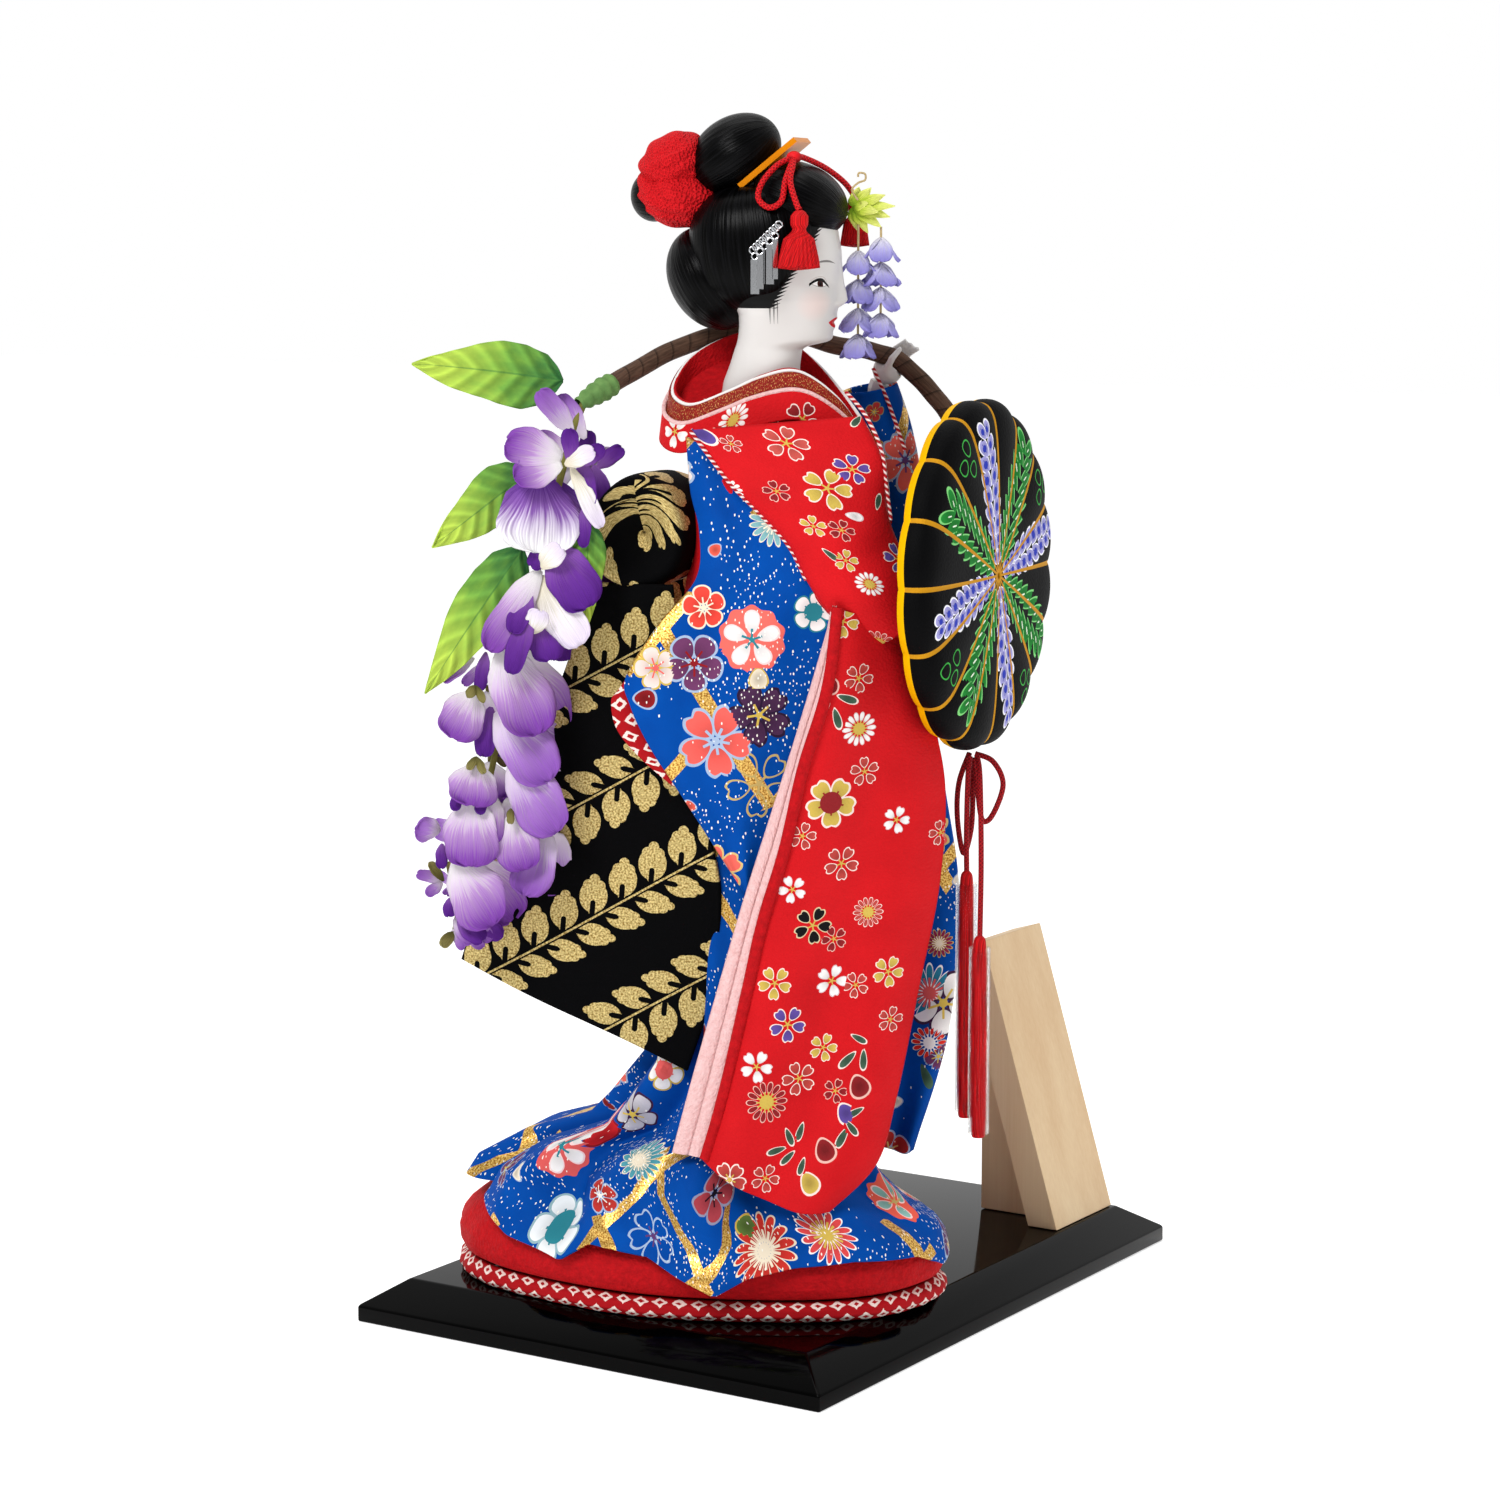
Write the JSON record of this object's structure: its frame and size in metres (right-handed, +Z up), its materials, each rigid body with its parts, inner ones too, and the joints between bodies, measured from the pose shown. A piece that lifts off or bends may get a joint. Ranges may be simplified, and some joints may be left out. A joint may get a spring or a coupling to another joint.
{
  "type": "japanese dancer doll",
  "caption": "Standing dancer doll in layered kimono with a trailing sash, round lobed hat and hanging wisteria branch, on a bevelled lacquered board with a leaning wooden plaque",
  "frame": {"origin": "centre of the board's underside", "axes": "+Z up, -Y toward the board's front edge where the plaque faces, +X to the plaque's side"},
  "size_m": [0.2827, 0.2181, 0.473],
  "materials": {
    "lacquer": "black mirror-gloss lacquer",
    "steel": "plain steel",
    "straw": "bound straw and paper core",
    "skin": "satin white moulding",
    "hair": "black silk thread",
    "red": "red crepe",
    "blue": "cobalt blue printed cloth",
    "pink": "pale pink ribbed silk",
    "black": "black and gold brocade",
    "brocade": "red and gold brocade",
    "white": "white cotton wrap on wire",
    "amber": "amber plastic",
    "silver": "bright foil",
    "leaf": "green printed fabric",
    "bark": "brown paper wrap on wire",
    "petal": "lavender silk",
    "hatcloth": "black crepe over a moulded shell, gold lines",
    "clear": "clear film sleeve",
    "timber": "pale smooth wood"
  },
  "bodies": {
    "figure": {"base_board": "lacquer", "stand_rod": "steel", "rod_nut": "steel", "skirt_core": "straw", "torso_core": "straw", "right_hand": "skin", "left_hand": "skin", "under_hem": "red", "padded_hem": "red", "red_bodice": "red", "right_sleeve": "red", "slipped_sleeve_lining": "red", "collar_red": "red", "collar_outer": "red", "kimono_skirt": "blue", "slipped_sleeve": "blue", "left_sleeve": "blue", "left_sleeve_bag": "blue", "right_sleeve_lining": "pink", "obi_band": "black", "obi_loop": "black", "obi_tail_near": "black", "obi_tail_far": "black", "collar_brocade": "brocade", "right_arm": "white", "left_arm": "white", "branch_tape": "leaf", "wisteria_stem": "leaf", "leaf_1": "leaf", "leaf_2": "leaf", "leaf_3": "leaf", "leaf_4": "leaf", "branch": "bark", "wisteria_blossoms": "petal"},
    "head": {"head": "skin", "head_peg": "timber", "hair_cap": "hair", "hair_back": "hair", "hair_front": "hair", "hair_bun": "hair", "bun_wrap": "red", "hair_cord": "red", "hair_tassel_near": "red", "hair_tassel_far": "red"},
    "comb": {"hair_comb": "amber"},
    "silver_hairpin": {"silver_pin": "silver"},
    "fringe": {"silver_fringe": "silver"},
    "leaf_hairpin": {"flower_pin": "leaf"},
    "petal_strings": {"flower_strings": "petal"},
    "hat": {"hat_shell": "hatcloth", "hat_strap": "red", "hat_cord_bow": "red"},
    "tassels": {"hat_cord_end_a": "red", "hat_cord_end_b": "red", "hat_tassel_a": "red", "hat_tassel_b": "red", "tassel_sleeve_a": "clear", "tassel_sleeve_b": "clear"},
    "plaque": {"plaque_board": "timber", "plaque_stay": "timber"}
  },
  "joints": [
    {"name": "head_turn", "type": "hinge", "parent": "figure", "child": "head", "pos_m": [-0.03979, -0.02139, 0.3615], "axis": [0, 0, 1], "range_deg": [-8, 8]},
    {"name": "comb_slide", "type": "slide", "parent": "head", "child": "comb", "axis": [0.262, -0.7317, 0.6293], "range_m": [0, 0.015]},
    {"name": "silver_hairpin_slide", "type": "slide", "parent": "head", "child": "silver_hairpin", "axis": [-0.9415, -0.3371, 0], "range_m": [0, 0.012]},
    {"name": "fringe_swing", "type": "hinge", "parent": "silver_hairpin", "child": "fringe", "pos_m": [-0.06788, -0.03755, 0.424], "axis": [0.2426, -0.6776, 0.6943], "range_deg": [-30, 0]},
    {"name": "leaf_hairpin_slide", "type": "slide", "parent": "head", "child": "leaf_hairpin", "axis": [0.5311, -0.7953, -0.2923], "range_m": [0, 0.015]},
    {"name": "petal_swing", "type": "hinge", "parent": "leaf_hairpin", "child": "petal_strings", "pos_m": [-0.01756, -0.05379, 0.4301], "axis": [0.5127, -0.853, -0.0976], "range_deg": [0, 20]},
    {"name": "hat_lift", "type": "slide", "parent": "figure", "child": "hat", "axis": [0.1857, -0.9826, 0], "range_m": [0, 0.06]},
    {"name": "tassel_swing", "type": "hinge", "parent": "hat", "child": "tassels", "pos_m": [-0.00187, -0.09211, 0.22556], "axis": [0.8415, 0.5402, 0], "range_deg": [-20, 10]},
    {"name": "plaque_lift", "type": "slide", "parent": "figure", "child": "plaque", "axis": [0, 0, 1], "range_m": [0, 0.13]}
  ]
}
